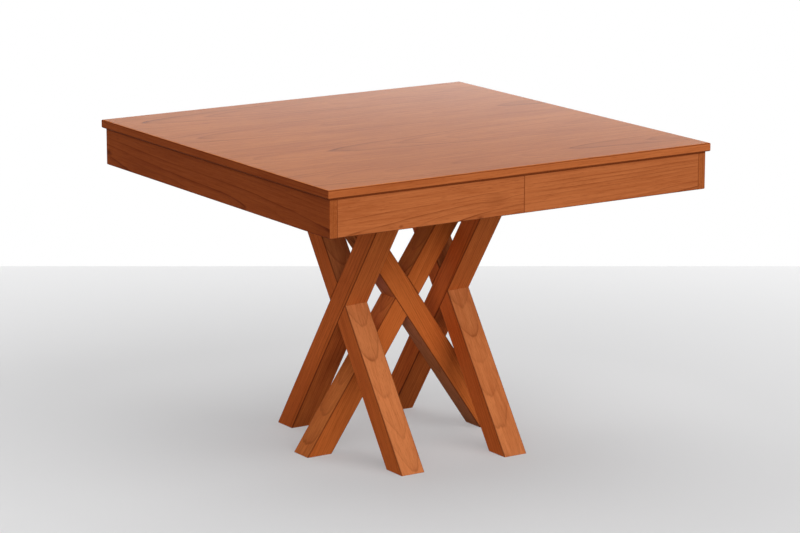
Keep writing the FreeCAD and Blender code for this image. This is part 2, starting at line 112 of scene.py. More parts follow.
class WoodSettings(bpy.types.PropertyGroup):
    """Stained boards outside and plain hardwood inside"""
    pale: colour("Early wood", "Stained colour of the soft, early part of a ring", (0.48, 0.142, 0.044))
    deep: colour("Deep tone", "Stained colour where the wood took more stain", (0.35, 0.088, 0.024))
    line: colour("Late wood", "Stained colour of the hard line that ends a ring", (0.17, 0.034, 0.008))
    inner_pale: colour("Inner early wood", "Plain hardwood of the slides and blocks", (0.62, 0.42, 0.24))
    inner_deep: colour("Inner deep tone", "Darker tone of the plain hardwood", (0.52, 0.33, 0.17))
    inner_line: colour("Inner late wood", "Ring lines of the plain hardwood", (0.36, 0.20, 0.09))
    ring: length("Ring width", "Distance between two ring lines across the log", 0.0052)
    eased: length("Eased edge", "Width of the sanded edge of a board", 0.0007)
    # Colour of the painted shade on eased edges, under the top and on its rounded edges, and of the dark
    # stain in joints
    seam: colour("Gathered stain", "Colour of the stain that gathers in seams", (0.16, 0.030, 0.007))
    satin: amount("Satin", "Specular level of the varnish", 0.015)
    rubbed: amount("Rubbed top", "Roughness of the extra, rubbed-out varnish on the top", 0.26)


class SteelSettings(bpy.types.PropertyGroup):
    """Zinc-plated fittings, cut gears and bought screws"""
    plated: colour("Plated steel", "Colour of the clips, locks and screws", (0.58, 0.58, 0.56))
    cut: colour("Cut steel", "Colour of the gears and racks", (0.44, 0.44, 0.43))
    eased: length("Eased edge", "Width of the tumbled edge of a fitting", 0.00025)
    pitch: length("Thread pitch", "Distance between two turns of a screw's thread", 0.0018)
    thread: length("Thread depth", "Height of the thread over the core", 0.0006)


class StageSettings(bpy.types.PropertyGroup):
    """Floor, light and camera"""
    floor: colour("Floor", "Colour of the plain floor", (0.40, 0.40, 0.40))
    bounce: colour("Floor bounce", "Colour of the floor in the light it throws back", (0.15, 0.15, 0.15))
    glow: colour("Floor glow", "Light of its own that the floor shows by the table", (0.30, 0.30, 0.305))
    far_glow: colour("Far glow", "Light of its own that the floor shows far off", (0.53, 0.53, 0.535))
    sky: amount("Room light", "Strength of the light that comes from all round", 0.04)
    key: amount("Key light", "Strength of the soft light from the front right", 2.02)
    fill: amount("Fill light", "Strength of the soft light from the front left", 1.75)
    rear: amount("Rear light", "Strength of the soft light from behind", 1.3)
    ceiling: amount("Ceiling light", "Strength of the soft light from overhead", 1.45)
    back: amount("Back light", "Power of the large lamp at the back right", 8.8)
    softness: angle("Softness", "How wide a light spreads", 60)
    lens: FloatProperty(name="Lens", description="Focal length on a 36 mm sensor",
                        subtype="DISTANCE_CAMERA", default=143.6)
    distance: length("Camera distance", "From the lens to the point it looks at", 7.8085)
    aim: length("Aim height", "Height of the point the camera looks at", 0.4341)
    azimuth: angle("Azimuth", "Camera's place round the table", -32.95)
    elevation: angle("Elevation", "Camera's height over the horizon", 12.70)


# ---- Materials -----------------------------------------------------------------------------------
class Signal:
    """A socket of a shader tree; arithmetic on it adds Math nodes."""

    def __init__(self, finish, socket):
        self.finish = finish
        self.socket = socket

    def math(self, operation, *others):
        return self.finish.add("ShaderNodeMath", {"operation": operation}, self, *others)

    def __add__(self, other):
        return self.math("ADD", other)

    __radd__ = __add__

    def __sub__(self, other):
        return self.math("SUBTRACT", other)

    def __rsub__(self, other):
        return self.finish.add("ShaderNodeMath", {"operation": "SUBTRACT"}, other, self)

    def __mul__(self, other):
        return self.math("MULTIPLY", other)

    __rmul__ = __mul__

    def __truediv__(self, other):
        return self.math("DIVIDE", other)

    def __pow__(self, other):
        return self.math("POWER", other)


class Finish:
    """One material, or the room, and the nodes that make it."""

    def __init__(self, owner):
        self.owner = owner
        owner.use_nodes = True
        self.tree = owner.node_tree
        self.tree.nodes.clear()

    def add(self, kind, settings, *values, output=0, **named):
        """Adds a node, with its settings first, then its sockets in order and by name."""
        made = self.tree.nodes.new(kind)
        for key, value in settings.items():
            if key == "stops":
                self.set_stops(made.color_ramp, value)
            else:
                setattr(made, key, value)
        sockets = dict(zip(range(len(values)), values))
        sockets.update({key.replace("_", " "): value for key, value in named.items()})
        for key, value in sockets.items():
            self.feed(made.inputs[key], value)
        return Signal(self, made.outputs[output])

    def set_stops(self, ramp, stops):
        """Gives a colour ramp its stops, each a place and a grey."""
        while len(ramp.elements) < len(stops):
            ramp.elements.new(0.5)
        for element, (place, value) in zip(ramp.elements, stops):
            element.position = place
            element.color = (value, value, value, 1)

    def feed(self, socket, value):
        """Links a signal to a socket, or sets the socket to a plain value."""
        if isinstance(value, Signal):
            self.tree.links.new(value.socket, socket)
        elif socket.type == "RGBA":
            socket.default_value = (*value, 1)
        else:
            socket.default_value = value

    def attribute(self, name, output):
        return self.add("ShaderNodeAttribute", {"attribute_name": name}, output=output)

    def vector(self, operation, *values, output=0):
        return self.add("ShaderNodeVectorMath", {"operation": operation}, *values, output=output)

    def noise(self, vector, factors, detail=2.0, output=0):
        """Noise on a vector that is first scaled along each axis."""
        scaled = self.vector("MULTIPLY", vector, factors)
        return self.add("ShaderNodeTexNoise", {"noise_dimensions": "3D"}, scaled,
                        Scale=1.0, Detail=detail, Roughness=0.5, output=output)

    def ramp(self, value, *stops):
        return self.add("ShaderNodeValToRGB", {"stops": stops}, value)

    def mix(self, factor, one, other, blend="MIX"):
        made = self.tree.nodes.new("ShaderNodeMix")
        made.data_type = "RGBA"
        made.blend_type = blend
        made.clamp_factor = True
        for socket, value in zip((made.inputs[0], made.inputs[6], made.inputs[7]), (factor, one, other)):
            self.feed(socket, value)
        return Signal(self, made.outputs[2])

    def close(self, shader, output="ShaderNodeOutputMaterial", **sockets):
        """Adds the closing shader, by the names of its sockets, and hands back its owner."""
        last = self.tree.nodes.new(output)
        self.tree.links.new(self.add(shader, {}, **sockets).socket, last.inputs["Surface"])
        return self.owner


# The noise that bends the grain, from long waves to short: its scale in the log, and its reach
WAVES = (((4, 4, 1.3), 0.016), ((22, 22, 4), 0.0035), ((150, 150, 22), 0.0006))


def ring_wood(name, pale, deep, line, seam, ring, satin, roughness, rubbed, knots=()):
    """Wood cut from a log.  The corner attribute "grain" is the place in the log, with its length
    along z and the pith at x = y = 0, "stain" is the tint that a face takes, its own stain and, on the
    ends and the legs, painted light and shade, "edge" marks the faces darkened with painted shade on
    eased edges, in the line under the top and on the top's rounded edges, and with dark stain in
    joints, and "coat" the faces with an extra, rubbed-out varnish.  Knots are places in the log, with
    their sizes and how dark they are."""
    wood = Finish(bpy.data.materials.new(name))
    grain = wood.attribute("grain", "Vector")
    stain = wood.attribute("stain", "Vector")
    edge = wood.attribute("edge", "Fac")
    coat = wood.attribute("coat", "Fac")

    bent = grain
    for factors, reach in WAVES:
        around = wood.vector("SUBTRACT", wood.noise(bent, factors, output="Color"), (0.5, 0.5, 0.5))
        bent = wood.vector("ADD", bent, wood.vector("MULTIPLY", around, (reach, reach, 0)))
    across = wood.vector("MULTIPLY", bent, (1, 1, 0))
    radius = wood.vector("LENGTH", across, output="Value")
    heart = 0.0
    for place, size, dark in knots:
        apart = wood.vector("SUBTRACT", bent, place)
        apart = wood.vector("MULTIPLY", apart, (1 / size, 1 / size, 0.5 / size))
        near = wood.vector("LENGTH", apart, output="Value")
        knot = wood.ramp(near, (0.0, 1.0), (0.35, 0.85), (1.0, 0.0)) * dark
        heart = knot.math("MAXIMUM", heart)
    years = radius / ring + wood.noise(grain, (2.5, 2.5, 0.9)) * 2.0 + heart * 1.6
    part = years.math("FRACT")
    year = years.math("FLOOR")
    strength = wood.add("ShaderNodeTexWhiteNoise", {"noise_dimensions": "1D"}, W=year)
    late = wood.ramp(part, (0.0, 0.0), (0.50, 0.08), (0.84, 0.36), (0.94, 1.0), (1.0, 0.0))
    broken = wood.ramp(wood.noise(grain, (26, 26, 7), 3.0), (0.0, 0.4), (0.36, 0.4), (0.60, 1.0))
    lines = late * (0.28 + strength ** 2 * 1.1) * broken * (1 - coat * 0.1)
    streaks = wood.noise(bent, (420, 420, 9), 4.0)
    bands = wood.noise(bent, (150, 150, 3.5), 3.0)
    fibres = wood.noise(grain, (1500, 1500, 40), 3.0)
    pores = wood.ramp(wood.noise(grain, (2400, 2400, 150), 1.0), (0.0, 0.0), (0.66, 0.0), (0.74, 1.0))
    flecks = wood.ramp(wood.noise(bent, (620, 620, 42), 2.0), (0.0, 0.0), (0.56, 0.0), (0.70, 1.0))
    cloud = wood.ramp(wood.noise(grain, (9, 9, 2.2), 3.0), (0.0, 0.0), (0.32, 0.0), (0.66, 1.0))
    depth = (0.05 + cloud * 0.55 + (bands - 0.5) * (1.4 - coat * 0.3) + (streaks - 0.5) * 1.5
             + (fibres - 0.5) * 0.3)
    shade = wood.mix(depth, pale, deep)
    shade = wood.mix(flecks * 0.30, shade, line)
    shade = wood.mix(lines * 0.95, shade, line)
    shade = wood.mix(pores * 0.25, shade, line)
    shade = wood.mix(heart * 0.75, shade, line)
    # The face's tint: its own stain, and on the ends and the legs painted light and shade
    shade = wood.mix(1.0, shade, stain, "MULTIPLY")
    # Painted shade on eased edges, under the top and on its rounded edges; dark stain in joints
    shade = wood.mix(edge, shade, seam)
    relief = wood.add("ShaderNodeBump", {}, Strength=0.12, Distance=0.0003,
                      Height=fibres * 0.5 + streaks * 0.4 - pores - lines * 0.25)
    rough = roughness + (fibres - 0.5) * 0.12 + lines * 0.05
    return wood.close("ShaderNodeBsdfPrincipled", Base_Color=shade, Roughness=rough,
                      Specular_IOR_Level=satin, Normal=relief, Coat_Weight=coat, Coat_Roughness=rubbed)


def plated_steel(name, tint, roughness):
    """Metal with fine rolling lines, cloudy plating, dark specks and brighter tumbled edges."""
    steel = Finish(bpy.data.materials.new(name))
    place = steel.add("ShaderNodeTexCoord", {}, output="Object")
    edge = steel.attribute("edge", "Fac")
    lines = steel.noise(place, (90, 2600, 2600), 3.0)
    cloud = steel.noise(place, (160, 160, 160), 3.0)
    specks = steel.ramp(steel.noise(place, (1900, 1900, 1900), 1.0), (0.0, 0.0), (0.66, 0.0), (0.72, 1.0))
    shade = steel.mix(cloud * 0.8, tint, tuple(0.72 * part for part in tint))
    shade = steel.mix(specks * 0.25, shade, tuple(0.4 * part for part in tint))
    shade = steel.mix(edge * 0.5, shade, (0.78, 0.78, 0.77))
    relief = steel.add("ShaderNodeBump", {}, Strength=0.15, Distance=0.0001, Height=lines)
    rough = roughness + (cloud - 0.5) * 0.25 + (lines - 0.5) * 0.15 - edge * 0.08
    return steel.close("ShaderNodeBsdfPrincipled", Base_Color=shade, Metallic=1.0, Roughness=rough,
                       Normal=relief)


# ---- Boards and their grain ----------------------------------------------------------------------
# A board is cut from a log.  Its grain runs "along", its flat-sawn face looks "face", the pith lies
# "depth" behind its centre and "aside" from it, and comes nearer by "slope" for each length along.
Cut = namedtuple("Cut", "centre along face depth aside slope start stain")
EVEN = (1.0, 1.0, 1.0)
# Painted shade: the ends of the aprons and of the top are darker and redder
SHADED_END_TINT = (0.78, 0.56, 0.38)
WARMER = (1.32, 1.36, 0.96)


def place_in_log(cut, point):
    """Where a point of a board was in its log: across from the pith, out from it and along it."""
    from_centre = point - cut.centre
    run = from_centre.dot(cut.along)
    across = from_centre.dot(cut.face.cross(cut.along)) - cut.aside
    out = cut.depth + from_centre.dot(cut.face) - cut.slope * run
    return Vector((across, out, run + cut.start))


def clean_copy(node):
    """A CAD node's mesh with its doubles merged and the triangles of each flat face joined."""
    shape = bmesh.new()
    shape.from_mesh(frame["nodes"][node].data)
    bmesh.ops.remove_doubles(shape, verts=shape.verts, dist=1e-5)
    bmesh.ops.dissolve_limit(shape, angle_limit=math.radians(0.5), verts=shape.verts, edges=shape.edges)
    shape.normal_update()
    shape.faces.layers.float.new("edge")
    return shape


def split(shape, place, way):
    """Cuts the faces of a shape along a plane, without parting them."""
    bmesh.ops.bisect_plane(shape, geom=shape.verts[:] + shape.edges[:] + shape.faces[:],
                           plane_co=place, plane_no=way)


def close_seam(shape, share):
    """Narrows the gap where the halves of the table meet, at x = 0, to a share of its width."""
    reach = 0.001
    for vert in shape.verts:
        if abs(vert.co.x) < reach:
            vert.co.x *= share


def mark_edge(shape, share, chosen):
    """Marks the faces that chosen(face) picks, as eased edges are marked."""
    edge = shape.faces.layers.float["edge"]
    for face in shape.faces:
        if chosen(face):
            face[edge] = share


def ease(shape, width, shortest, keep=lambda edge: True, narrow=0.0014):
    """Rounds the sharp outer edges that keep(edge) allows and marks them and the narrow chamfers."""
    sharp = [edge for edge in shape.edges
             if len(edge.link_faces) == 2 and edge.is_convex and edge.calc_length() > shortest
             and edge.calc_face_angle() > SHARP and keep(edge)]
    if sharp:
        made = bmesh.ops.bevel(shape, geom=sharp, offset=width, offset_type="OFFSET",
                               segments=BEVEL_STEPS, profile=0.5, affect="EDGES", clamp_overlap=True)
        rounded = set(made["faces"])
        # On wood the mark is painted shade along the eased edges; on steel it brightens them as worn
        # edges
        mark_edge(shape, EASED_SHADE_AND_WEAR, lambda face: face in rounded or width_of(face) < narrow)


def round_holes(shape):
    """Bows the sides of square-ended, six-sided screw holes out to the circle through their corners."""
    corner = math.radians(60)
    square = math.radians(90)
    slack = 0.01
    uprights = {edge for edge in shape.edges
                if len(edge.link_faces) == 2 and not edge.is_convex
                and abs(edge.calc_face_angle() - corner) < slack}
    walls = [face for face in shape.faces
             if len(face.edges) == 4 and len(uprights.intersection(face.edges)) == 2
             and all(abs(loop.calc_angle() - square) < slack for loop in face.loops)]
    for wall in walls:
        rims = [edge for edge in wall.edges if edge not in uprights]
        inward = wall.normal * math.cos(corner / 2)
        one, other = [bow_out(rim, inward) for rim in rims]
        if (one[0].co - other[0].co).length > (one[0].co - other[1].co).length:
            other = other[::-1]
        for pair in zip(one, other):
            part = next(face for face in pair[0].link_faces if face in pair[1].link_faces)
            bmesh.utils.face_split(part, *pair)
    shape.normal_update()


def bow_out(rim, inward):
    """Cuts a side of a six-sided hole's rim in three and moves the two new corners onto the circle."""
    radius = rim.calc_length()
    middle = (rim.verts[0].co + rim.verts[1].co) / 2 + inward * radius
    near = bmesh.utils.edge_split(rim, rim.verts[0], 1 / 3)[1]
    far = bmesh.utils.edge_split(rim, near, 0.5)[1]
    for vert in (near, far):
        vert.co = middle + (vert.co - middle).normalized() * radius
    return near, far


def width_of(face):
    """How wide a face is on average, across its longest edge."""
    return face.calc_area() / max(edge.calc_length() for edge in face.edges)


def looks_along(face, way):
    """Whether a face looks along a way, in either sense."""
    return abs(face.normal.dot(way)) > SQUARE


def lay_grain(shape, choose_cut):
    """Gives each corner its place in the log that choose_cut(face) names."""
    grain = shape.loops.layers.float_vector.new("grain")
    stain = shape.faces.layers.float_vector.new("stain")
    for face in shape.faces:
        cut = choose_cut(face)
        face[stain] = cut.stain
        for corner in face.loops:
            corner[grain] = place_in_log(cut, corner.vert.co)


def smooth_curves(shape):
    """Smooths the narrow faces of curves into each other and leaves the wide, flat faces flat."""
    widest = 0.004
    sharpest = math.radians(50)
    for face in shape.faces:
        face.smooth = True
    for edge in shape.edges:
        edge.smooth = (len(edge.link_faces) == 2 and edge.calc_face_angle() < sharpest
                       and all(width_of(face) < widest for face in edge.link_faces))


def finish_piece(shape, node, material):
    """Makes the dressed piece of a CAD node from its shape."""
    smooth_curves(shape)
    mesh = bpy.data.meshes.new(node + "_dressed")
    shape.to_mesh(mesh)
    shape.free()
    mesh.materials.append(material)
    add_piece(mesh, node)


def add_piece(mesh, node):
    """Puts a dressed mesh in the place of a CAD node and on the node's body, and hides the node; the
    node's material slot is only looked up.
    """
    piece = bpy.data.objects.new(node + "_dressed", mesh)
    bpy.context.scene.collection.objects.link(piece)
    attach(piece, frame["nodes"][node]["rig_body"])
    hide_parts(node)
    material_slot(node)


def material_slot(node):
    """The material slot that the record gives a CAD node."""
    for part in frame["record"]["subparts"]:
        if part["node"] == node:
            return part["material_slot"]
    raise RuntimeError("no material slot for " + node)


def body_box(node):
    """Lowest corner, highest corner and centre of a CAD node."""
    low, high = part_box(node)
    return low, high, (low + high) / 2


def dress_board(node, cut, material):
    """A wooden node with round screw holes and eased edges, cut from one place in the log."""
    shape = clean_copy(node)
    round_holes(shape)
    ease(shape, bpy.context.scene.table_wood.eased, SHORTEST_BOARD_EDGE)
    lay_grain(shape, lambda face: cut)
    finish_piece(shape, node, material)


def dress_steel(node, material):
    """A steel node with tumbled edges."""
    shape = clean_copy(node)
    ease(shape, bpy.context.scene.table_steel.eased, SHORTEST_STEEL_EDGE)
    finish_piece(shape, node, material)


def shared(name, make):
    """The material of that name, made the first time that it is asked for."""
    return bpy.data.materials.get(name) or make(name)


def stained_wood():
    wood = bpy.context.scene.table_wood
    knots = [(place_in_log(board, Vector(place)), size, dark) for board, place, size, dark in KNOTS]
    return shared("stained_wood", lambda name: ring_wood(
        name, wood.pale, wood.deep, wood.line, wood.seam, wood.ring, satin=wood.satin, roughness=0.45,
        rubbed=wood.rubbed, knots=knots))


def plain_wood():
    wood = bpy.context.scene.table_wood
    return shared("plain_hardwood", lambda name: ring_wood(
        name, wood.inner_pale, wood.inner_deep, wood.inner_line, wood.inner_pale, wood.ring * 0.6,
        satin=0.3, roughness=0.62, rubbed=wood.rubbed))


def zinc():
    return shared("zinc_plated_steel", lambda name: plated_steel(
        name, bpy.context.scene.table_steel.plated, roughness=0.34))


def bare_steel():
    return shared("cut_steel", lambda name: plated_steel(
        name, bpy.context.scene.table_steel.cut, roughness=0.42))


# ---- The pieces ----------------------------------------------------------------------------------
# Places in the log of the two boards whose knots show
# The left end board's tint is painted shade, darker and redder
LEFT_END = Cut(Vector((-0.515, 0, 0.705)), REAR, LEFT, 0.075, 0.040, 0.026, 9.0, SHADED_END_TINT)
FRONT_LEFT = Cut(Vector((-0.26, -0.515, 0.705)), RIGHT, FRONT, 0.070, -0.052, 0.030, 13.0, EVEN)
# Each knot's board, its place on the table, its size and how dark it is
KNOTS = ((LEFT_END, (-0.525, 0.516, 0.692), 0.011, 1.0),
         (FRONT_LEFT, (-0.345, -0.525, 0.668), 0.004, 1.0),
         (FRONT_LEFT, (-0.13, -0.525, 0.664), 0.005, 1.0),
         (FRONT_LEFT, (-0.083, -0.525, 0.700), 0.022, 0.30))


class TABLE_OT_top(bpy.types.Operator):
    """Dress the two halves of the top: boards glued side by side, and a solid edge all round"""
    bl_idname = "table.top"
    bl_label = "Top"
    seam_share = 0.2
    # Each board's depth in the log, shift aside and shift along
    sawn = ((0.190, -0.020, 0.00), (0.205, -0.005, 0.05), (0.195, 0.030, -0.04), (0.200, 0.020, 0.02))
    # Cosines between which a face belongs to the rounded edge, and from which it is level
    rounded = (0.10, 0.75)
    level = 0.98

    def execute(self, context):
        low = body_box("left_top_panel")[0]
        high = body_box("right_top_panel")[1]
        middle = (low + high) / 2
        count = len(self.sawn)
        width = (high.y - low.y) / count
        boards = [Cut(Vector((middle.x, low.y + width * (number + 0.5) + aside, middle.z)),
                      RIGHT, UP, depth, 0.0, 0.030, 2.0 + slide, WARMER)
                  for number, (depth, aside, slide) in enumerate(self.sawn)]
        # The ends of the top carry painted shade, darker and redder
        end = Cut(middle, REAR, UP, 0.30, 0.02, 0.004, 5.0, SHADED_END_TINT)
        side = Cut(middle, RIGHT, UP, 0.30, 0.02, 0.004, 6.0, (1.01, 0.98, 0.92))

        def choose(face):
            if looks_along(face, UP):
                place = face.calc_center_median().y
                return boards[min(count - 1, max(0, int((place - low.y) / width)))]
            return end if abs(face.normal.x) > abs(face.normal.y) else side

        least, most = self.rounded
        for node in ("left_top_panel", "right_top_panel"):
            shape = clean_copy(node)
            close_seam(shape, self.seam_share)
            for number in range(1, count):
                split(shape, Vector((0, low.y + width * number, 0)), REAR)
            # Painted shade on the rounded edges of the top
            mark_edge(shape, LINE_SHADE, lambda face: least < abs(face.normal.z) < most)
            coat = shape.faces.layers.float.new("coat")
            for face in shape.faces:
                face[coat] = 1.0 if face.normal.z > self.level else 0.0
            lay_grain(shape, choose)
            finish_piece(shape, node, stained_wood())
        return {"FINISHED"}


class TABLE_OT_apron(bpy.types.Operator):
    """Dress the apron boards and the glue blocks in their corners"""
    bl_idname = "table.apron"
    bl_label = "Apron"
    seam_share = 0.25
    # Height of the painted shadow line under the top, and width of the dark stain lines at the corner and
    # at the split
    line = 0.0045
    corner_line = 0.0016
    split_line = 0.0008
    # Only edges this long and this near the bottom are eased
    shortest = 0.5
    lowest = 0.006

    def execute(self, context):
        # The end boards carry painted shade, darker and redder
        ends = {"left": LEFT_END,
                "right": Cut(body_box("right_end_apron")[2], REAR, RIGHT, 0.090, 0.035, -0.024, 11.0,
                             SHADED_END_TINT)}
        # Each side board's depth and shift aside in its log, its slope and its place along it
        sawn = {"left_front_apron": FRONT_LEFT[3:7],
                "right_front_apron": (0.120, -0.075, 0.014, 15.4),
                "left_rear_apron": (0.100, 0.050, 0.024, 17.1),
                "right_rear_apron": (0.090, -0.055, -0.026, 19.6)}
        for half, cut in ends.items():
            streaks = cut._replace(depth=0.6, aside=0.0, slope=0.0, stain=(0.84, 0.78, 0.68))
            self.dress(half + "_end_apron", cut, streaks, self.corner_line)
            for side, face in (("front", FRONT), ("rear", REAR)):
                node = half + "_" + side + "_apron"
                cut = Cut(body_box(node)[2], RIGHT, face, *sawn[node], EVEN)
                self.dress(node, cut, cut, self.split_line)
                block = half + "_" + side + "_corner_block"
                start = sawn[node][3] + 0.7
                cut = Cut(body_box(block)[2], UP, face, 0.05, 0.03, 0.01, start, EVEN)
                dress_board(block, cut, plain_wood())
        return {"FINISHED"}

    def dress(self, node, cut, end, joint):
        """An apron board, with a painted shadow line where it meets the top and a line of darker stain
        where it meets the next board.
        """
        low, high, middle = body_box(node)
        shape = clean_copy(node)
        close_seam(shape, self.seam_share)
        split(shape, Vector((0, 0, high.z - self.line)), UP)
        # Painted shade on the eased bottom edges
        ease(shape, bpy.context.scene.table_wood.eased, self.shortest,
             lambda edge: edge.verts[0].co.z < low.z + self.lowest)
        # Painted shadow in the strip under the top
        mark_edge(shape, LINE_SHADE, lambda face: not looks_along(face, UP)
                  and face.calc_center_median().z > high.z - self.line)
        inner = high.x if middle.x < 0 else low.x
        reach = inner + math.copysign(joint, middle.x)
        split(shape, Vector((reach, 0, 0)), RIGHT)
        mark_edge(shape, JOINT_STAIN, lambda face: looks_along(face, REAR)
                  and abs(face.calc_center_median().x) < abs(reach))
        lay_grain(shape, lambda face: end if looks_along(face, cut.along) else cut)
        finish_piece(shape, node, stained_wood())


class TABLE_OT_frames(bpy.types.Operator):
    """Dress the six half-lapped legs"""
    bl_idname = "table.frames"
    bl_label = "X-frames"
    # The cosine from which a face is a leg's front or back, and the width up to which it is a chamfer
    facing = 0.6
    chamfer = 0.003

    def execute(self, context):
        # Two ways to saw a leg, as depth, shift aside and slope in the log
        arched = (0.130, 0.003, 0.060)
        straight = (0.070, 0.085, 0.014)
        # Painted light and shade in a leg's tints: lighter than the other boards, paler on its front and
        # back and redder on its sides
        pale = (1.27, 1.40, 1.50)
        brown = (1.30, 1.14, 0.88)
        amber = (1.42, 1.34, 1.00)
        orange = (1.50, 1.14, 0.78)
        russet = (1.22, 1.04, 0.72)
        legs = (("left_frame_front_leg", FRONT, arched, 21.00, pale, orange),
                ("left_frame_rear_leg", REAR, straight, 23.35, brown, orange),
                ("right_frame_front_leg", FRONT, arched, 21.86, pale, orange),
                ("right_frame_rear_leg", REAR, straight, 25.20, brown, orange),
                ("centre_frame_left_leg", LEFT, arched, 27.50, amber, russet),
                ("centre_frame_right_leg", RIGHT, arched, 29.10, pale, russet))
        for node, foot, sawn, start, lit_front_tint, shaded_side_tint in legs:
            shape = clean_copy(node)
            longest = max(shape.edges, key=lambda edge: edge.calc_length())
            along = (longest.verts[1].co - longest.verts[0].co).normalized()
            along *= math.copysign(1, along.z)
            face = (foot - along * foot.dot(along)).normalized()
            # Painted shade on the legs' eased edges and chamfers
            ease(shape, context.scene.table_wood.eased, SHORTEST_BOARD_EDGE, narrow=self.chamfer)
            front = Cut(body_box(node)[2], along, face, *sawn, start, lit_front_tint)
            sides = front._replace(stain=shaded_side_tint)
            lay_grain(shape, lambda face: front if abs(face.normal.dot(front.face)) > self.facing
                      else sides)
            finish_piece(shape, node, stained_wood())
        return {"FINISHED"}


class TABLE_OT_rails(bpy.types.Operator):
    """Dress the rails that cap the frames"""
    bl_idname = "table.rails"
    bl_label = "Head rails"

    def execute(self, context):
        for node, along, start in (("left_head_rail", REAR, 31.0), ("right_head_rail", REAR, 33.0),
                                   ("centre_head_rail", RIGHT, 35.0)):
            cut = Cut(body_box(node)[2], along, DOWN, 0.07, 0.01, 0.02, start, EVEN)
            dress_board(node, cut, stained_wood())
        return {"FINISHED"}


class TABLE_OT_slides(bpy.types.Operator):
    """Dress the slide rails, their runners, the racks, the pinions and the pins"""
    bl_idname = "table.slides"
    bl_label = "Slides"

    def execute(self, context):
        start = 40.0
        for side in ("front", "rear"):
            for name in ("{}_slide_rail", "left_{}_runner", "right_{}_runner"):
                node = name.format(side)
                cut = Cut(body_box(node)[2], RIGHT, DOWN, 0.12, 0.03, 0.006, start, EVEN)
                dress_board(node, cut, plain_wood())
                start += 1.3
            for name in ("{}_pinion", "left_{}_rack", "right_{}_rack"):
                dress_steel(name.format(side), bare_steel())
        for node in ("pinion_pins", "slide_stop_pins"):
            dress_steel(node, zinc())
        dress_board("seam_keys", Cut(body_box("seam_keys")[2], RIGHT, UP, 0.08, 0.01, 0.01, start, EVEN),
                    plain_wood())
        return {"FINISHED"}


class TABLE_OT_fittings(bpy.types.Operator):
    """Dress the clips under the top and the two locks across the split"""
    bl_idname = "table.fittings"
    bl_label = "Clips and locks"

    def execute(self, context):
        for node in ("left_top_clips", "right_top_clips", "lock_plates", "lock_posts", "lock_keepers",
                     "front_lock_lever", "rear_lock_lever"):
            dress_steel(node, zinc())
        return {"FINISHED"}


# ---- Screws --------------------------------------------------------------------------------------
class Tree:
    """A Geometry Nodes tree that makes threaded screws at the points of a mesh."""

    def __init__(self, name):
        self.group = bpy.data.node_groups.new(name, "GeometryNodeTree")
        self.group.interface.new_socket("Geometry", in_out="INPUT", socket_type="NodeSocketGeometry")
        self.group.interface.new_socket("Geometry", in_out="OUTPUT", socket_type="NodeSocketGeometry")
        self.names = {}
        self.inputs = self.group.nodes.new("NodeGroupInput")

    def size(self, name, kind="NodeSocketFloat"):
        """A named input of the tree."""
        made = self.group.interface.new_socket(name, in_out="INPUT", socket_type=kind)
        self.names[name] = made.identifier
        return self.inputs.outputs[name]

    def add(self, kind, settings, sockets, output=0):
        made = self.group.nodes.new(kind)
        for key, value in settings.items():
            setattr(made, key, value)
        for key, value in sockets.items():
            if isinstance(value, bpy.types.NodeSocket):
                self.group.links.new(value, made.inputs[key])
            else:
                made.inputs[key].default_value = value
        return made.outputs[output]

    def math(self, operation, one, other):
        return self.add("ShaderNodeMath", {"operation": operation}, {0: one, 1: other})

    def vector(self, x, y, z):
        return self.add("ShaderNodeCombineXYZ", {}, {"X": x, "Y": y, "Z": z})

    def times(self, one, other):
        return self.math("MULTIPLY", one, other)

    def moved(self, shape, height, **others):
        """A shape moved along its z axis."""
        return self.add("GeometryNodeTransform", {}, {
            "Geometry": shape, "Translation": self.vector(0.0, 0.0, height), **others})

    def union(self, one, other):
        """Two shapes cut into one."""
        whole = self.add("GeometryNodeMeshBoolean", {"operation": "UNION", "solver": "EXACT"}, {1: one})
        self.group.links.new(other, whole.node.inputs[1])
        return whole

    def join(self, *shapes):
        """Shapes side by side, uncut."""
        made = self.group.nodes.new("GeometryNodeJoinGeometry")
        for shape in shapes:
            self.group.links.new(shape, made.inputs[0])
        return made.outputs[0]


# Proportions of a screw.  Its point is so many core radii long, its thread starts at a share of the
# straight core and runs over another share, and a share of the head's height is its upright rim.
POINT_LENGTH = 3.0
POINT_RADIUS = 0.0001
THREAD_START = 0.28
THREAD_SHARE = 0.7
RIM_SHARE = 0.45
# The cross recess: length and width of its slots in head radii, and how far down it stands in heights
CROSS_LENGTH = 1.15
CROSS_WIDTH = 0.24
CROSS_DROP = -1.1
# How far out the flat sides of a six-sided bar lie, as a share of how far out its corners lie
FLATS = math.cos(math.radians(30))


